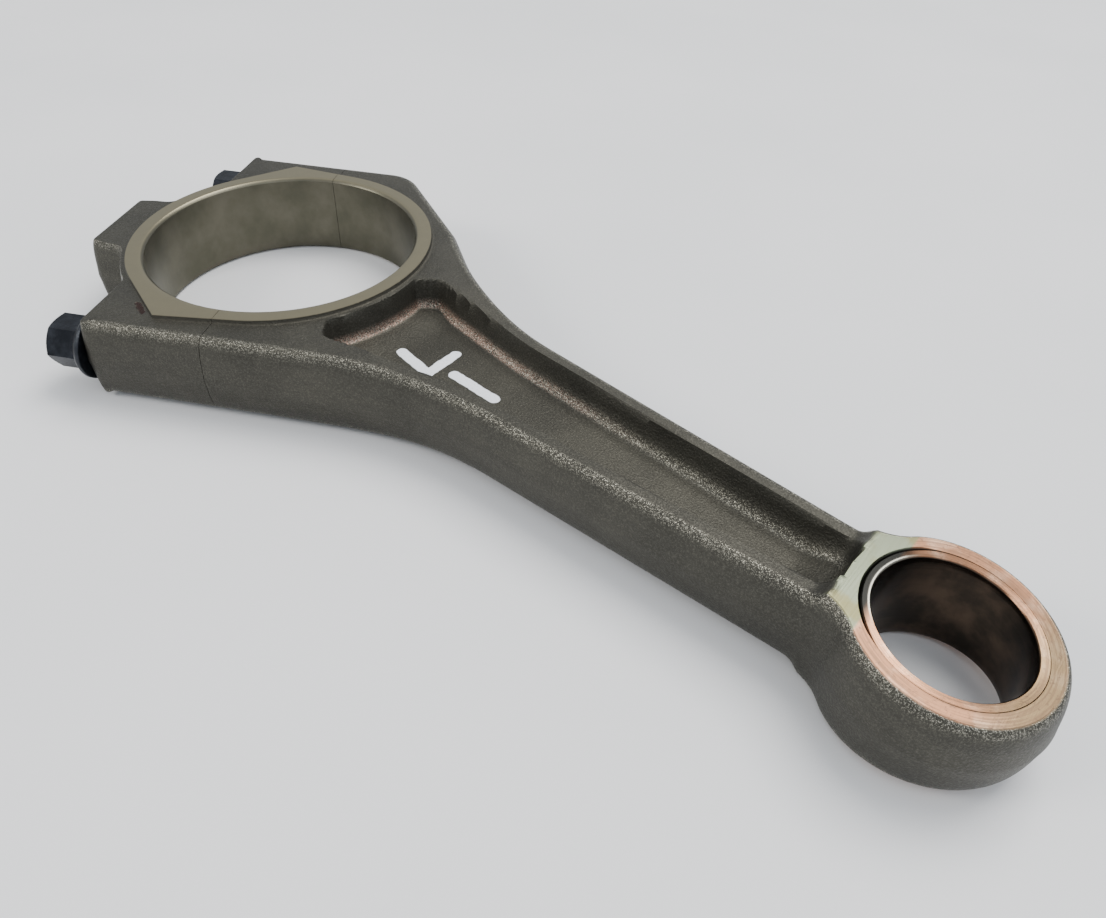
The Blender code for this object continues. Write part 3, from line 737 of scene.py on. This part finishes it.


# Forged skin with painted highlights: a pale glint (sparkle) on its bends and rounded edges and a
# copper-tinted glint along the recess fillet; and every machined face, told apart by the marks.
def forgedSteel():
    p = Paint("forged steel", forged["metallic"])
    pocket, machined, bore, side, rim = (p.mark(k) for k in
                                         ("pocket", "machined", "bore", "side", "rim"))
    broad = p.noise(70, 4)
    grain = p.noise(2600, 3, 0.6)
    fine = p.noise(6500, 2)
    streak = p.noise(60, 4, 0.6, (1, 1, 9))
    skinTone = p.mix(p.step(broad, 0.3, 0.7), forged["dark"], forged["light"])
    skinTone = p.mix(p.step(grain, 0.4, 0.72) * 0.2, skinTone, forged["grain"])
    skinTone = p.mix(side * p.step(streak, 0.45, 0.65) * 0.35, skinTone, forged["streak"])
    # bend: the recess floor's fillet band, where the painted highlights are laid
    bend = p.step(pocket, 0.62, 0.88) * (1.0 - p.step(pocket, 0.955, 0.998))
    edge = (1.0 - side) * p.mark("round")
    reach = 1.0 - p.step(p.x, stationX(43.0), stationX(108.0))
    # painted highlight: copper-tinted glints along the recess fillet near the big end, where the
    # highlight band falls
    paintedCopperGlint = bend * reach * p.step(p.noise(3200, 3, 0.7) + 0.25 * p.noise(160, 2), 0.55, 0.68)
    skinTone = p.mix(paintedCopperGlint * 0.45, skinTone, forged["copper"])
    # painted highlight: pale glint specks over the skin, strongest on the recess fillet's bend and the
    # rounded top edges
    sparkle = p.step(fine + grain * 0.4, 0.74, 0.84)
    skinTone = p.mix(sparkle * (0.05 + 0.55 * bend + 0.6 * edge), skinTone, forged["paintedGlint"])
    skinTone = p.mix(rim, skinTone, forged["rim"])

    # machined faces: ring, flat and wedge
    lines = p.noise(1.0, 3, 0.6, (2600, 60, 60))
    ringTone = p.mix(p.noise(400, 4, 0.7) * 0.5, forged["ring"], forged["ringShade"])
    straw = p.step(p.noise(160, 3), 0.5, 0.68)
    flatTone = p.mix(lines * 0.6, forged["flat"], forged["ground"])
    flatTone = p.mix(straw * 0.5, flatTone, forged["straw"])
    wedgeTone = wedgeCopper(p)
    onWedge = p.step(p.x, stationX(rod["wedgeX"] - 0.2), stationX(rod["wedgeX"] + 0.3))
    onSmall = p.step(p.x, stationX(100.0), stationX(110.0))
    machinedTone = p.mix(onWedge, flatTone, wedgeTone)
    machinedTone = p.mix(onSmall, ringTone, machinedTone)
    boreTone = p.mix(p.step(p.noise(90, 4, 0.6, (1, 1, 0.8)), 0.3, 0.75), forged["boreShade"],
                     forged["bore"])
    # painted shade: the small eye's chamfer and wall are made near black, standing in for the shade
    # where the eye meets the bush
    boreTone = p.mix(onSmall, boreTone, forged["paintedEyeShade"])
    colour = p.mix(machined, skinTone, machinedTone)
    colour = p.mix(bore, colour, boreTone)

    # hand-painted strokes on the web
    near = None
    for a, b in forged["strokes"]:
        d = strokeDistance(p, a, b)
        near = d if near is None else near.math("MINIMUM", d)
    ragged = near + (p.noise(500, 3) - 0.5) * 0.6
    painted = (1.0 - p.step(ragged, 1.12, 1.3)) * p.step(pocket, 0.75, 0.9) \
        * p.step(p.z, midZ, midZ + 0.5 * mm)
    painted = painted * (1.0 - 0.2 * p.step(grain, 0.56, 0.68))
    colour = p.mix(painted, colour, forged["paint"])

    # dark pit beside the near ear
    pit = strokeDistance(p, *(fromCap(*end) for end in forged["pitEnds"])) + p.noise(1200, 2)
    pit = (1.0 - p.step(pit, 0.85, 1.3)) * (1.0 - machined) * p.step(p.z, midZ, midZ + 5 * mm)
    colour = p.mix(pit, colour, forged["pit"])
    p.feed(p.shader.inputs["Metallic"], forged["metallic"] * (1.0 - painted))

    rough = 0.50 - 0.08 * p.step(grain, 0.4, 0.7) - 0.16 * sparkle * (bend + edge)
    smoothFace = (machined + bore).math("MINIMUM", 1.0)
    rough = rough + smoothFace * (0.36 - rough)
    height = (grain + 0.3 * fine + 0.5 * p.noise(420, 3)) * (1.0 - smoothFace) \
        + machined * onSmall * lines * 0.2 + painted * 0.3 - pit * 1.5
    return p.finish(colour, rough, height, 0.00018, 0.8)


oxide = {"dark": (0.012, 0.014, 0.018), "light": (0.034, 0.038, 0.046)}


def blackOxide():
    p = Paint("black oxide", 0.8)
    mottle = p.noise(260, 4, 0.6)
    fine = p.noise(2500, 3)
    colour = p.mix(p.step(mottle, 0.35, 0.7), oxide["dark"], oxide["light"])
    rough = 0.30 + 0.2 * fine
    return p.finish(colour, rough, fine + mottle, 0.00008, 0.5)


# Dark bore, with ends that are copper on the wedge and elsewhere a bright rim inside a near-black ring
# of painted shade at the outer edge.
def bushMetal():
    p = Paint("bush bronze", 0.95)
    haze = p.noise(140, 4, 0.6)
    lines = p.noise(1.0, 2, 0.5, (60, 60, 2200))
    colour = p.mix(p.step(haze, 0.35, 0.7), bush["dark"], bush["light"])
    facing = p.node("ShaderNodeNewGeometry", None, None, "Normal")
    up = p.node("ShaderNodeSeparateXYZ", None, {0: facing}, 2).math("ABSOLUTE")
    # painted shade: the outer part of the bush's end is made near black, a dark ring where it meets the
    # eye's chamfer
    rimTone = p.mix(p.step(eyeRadius(p), *bush["rimEdge"]), bush["rim"], bush["paintedShadeRing"])
    end = p.mix(p.step(p.x, stationX(148.5), stationX(151.5)), rimTone, wedgeCopper(p))
    colour = p.mix(p.step(up, 0.4, 0.8), colour, end)
    return p.finish(colour, 0.20 + 0.1 * haze, lines, 0.00004, 0.4)


print("materials")
steel, black, bronze = forgedSteel(), blackOxide(), bushMetal()

print("forged pieces")
rodPiece = build("forged_rod", *rodGrids(), steel)
capPiece = build("forged_cap", *capGrids(), steel)
for side in (1, -1):
    drill(rodPiece, side, -hole["over"], hole["depth"], hole["point"])
    drill(capPiece, side, hole["seat"], hole["over"])
for piece, body, node in ((rodPiece, "rod", "rod_body"), (capPiece, "cap", "bearing_cap")):
    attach(piece, body)
    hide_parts(node)

print("bolts and bush")
for side, word in ((1, "far"), (-1, "near")):
    piece = build(word + "_bolt_threaded", [(boltGrid(side), False, marks())], [], black)
    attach(piece, word + "_bolt")
    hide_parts("cap_bolt_" + word)
bushPiece = build("eye_bush", [(bushGrid(), False, marks())], [], bronze)
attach(bushPiece, "rod")
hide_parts("small_end_bush")

print("floor, light and camera")
light = {
    "key": dict(size=0.8, energy=18.0, colour=(1.0, 0.98, 0.95), place=(0.10, 0.60, 1.25)),
    "fill": dict(size=1.2, energy=4.0, colour=(0.92, 0.96, 1.0), place=(0.7, -0.1, 0.9)),
    "edge": dict(size=0.35, energy=4.5, colour=(1.0, 0.97, 0.92), place=(-0.55, -0.70, 0.64)),
}


floorTone = {"dark": (0.80, 0.81, 0.82), "light": (0.86, 0.86, 0.87), "dirt": (0.42, 0.40, 0.34)}


def floorPaint():
    p = Paint("pale floor", 0.0)
    cloud = p.noise(6, 3)
    dirt = p.step(p.noise(170, 5, 0.7, (1, 1.6, 1)), 0.70, 0.76) * p.step(p.noise(22, 2), 0.5, 0.62)
    colour = p.mix(p.step(cloud, 0.3, 0.7), floorTone["dark"], floorTone["light"])
    colour = p.mix(dirt * 0.55, colour, floorTone["dirt"])
    return p.finish(colour, 0.55 + 0.1 * cloud, cloud, 0.00002, 0.1)


bpy.ops.mesh.primitive_plane_add(size=6.0, location=(0, 0, -0.2 * mm))
floor = bpy.context.object
floor.name = "floor"
floor.data.materials.append(floorPaint())

world = bpy.data.worlds.new("studio")
bpy.context.scene.world = world
world.use_nodes = True
sky = world.node_tree.nodes["Background"].inputs
sky["Color"].default_value = (0.80, 0.84, 0.90, 1)
sky["Strength"].default_value = 0.80

for name, given in light.items():
    lamp = bpy.data.lights.new(name, "AREA")
    lamp.size = given["size"]
    lamp.energy = given["energy"]
    lamp.color = given["colour"]
    holder = bpy.data.objects.new(name, lamp)
    holder.location = given["place"]
    aim = holder.location.copy()
    holder.rotation_euler = aim.to_track_quat("Z", "Y").to_euler()
    bpy.context.scene.collection.objects.link(holder)

view = {"turn": (50.467, -2.022, 40.711), "at": (163.81, -99.53, 113.42), "lens": 28.67,
        "rise": -0.0533}
eyePoint = bpy.data.cameras.new("camera")
eyePoint.lens = view["lens"]
eyePoint.shift_y = view["rise"]
eyePoint.clip_start = 0.005
camera = bpy.data.objects.new("camera", eyePoint)
camera.rotation_euler = [math.radians(a) for a in view["turn"]]
camera.location = (bigEnd[0] + view["at"][0] * mm, bigEnd[1] + view["at"][1] * mm,
                   midZ + view["at"][2] * mm)
bpy.context.scene.collection.objects.link(camera)
bpy.context.scene.camera = camera
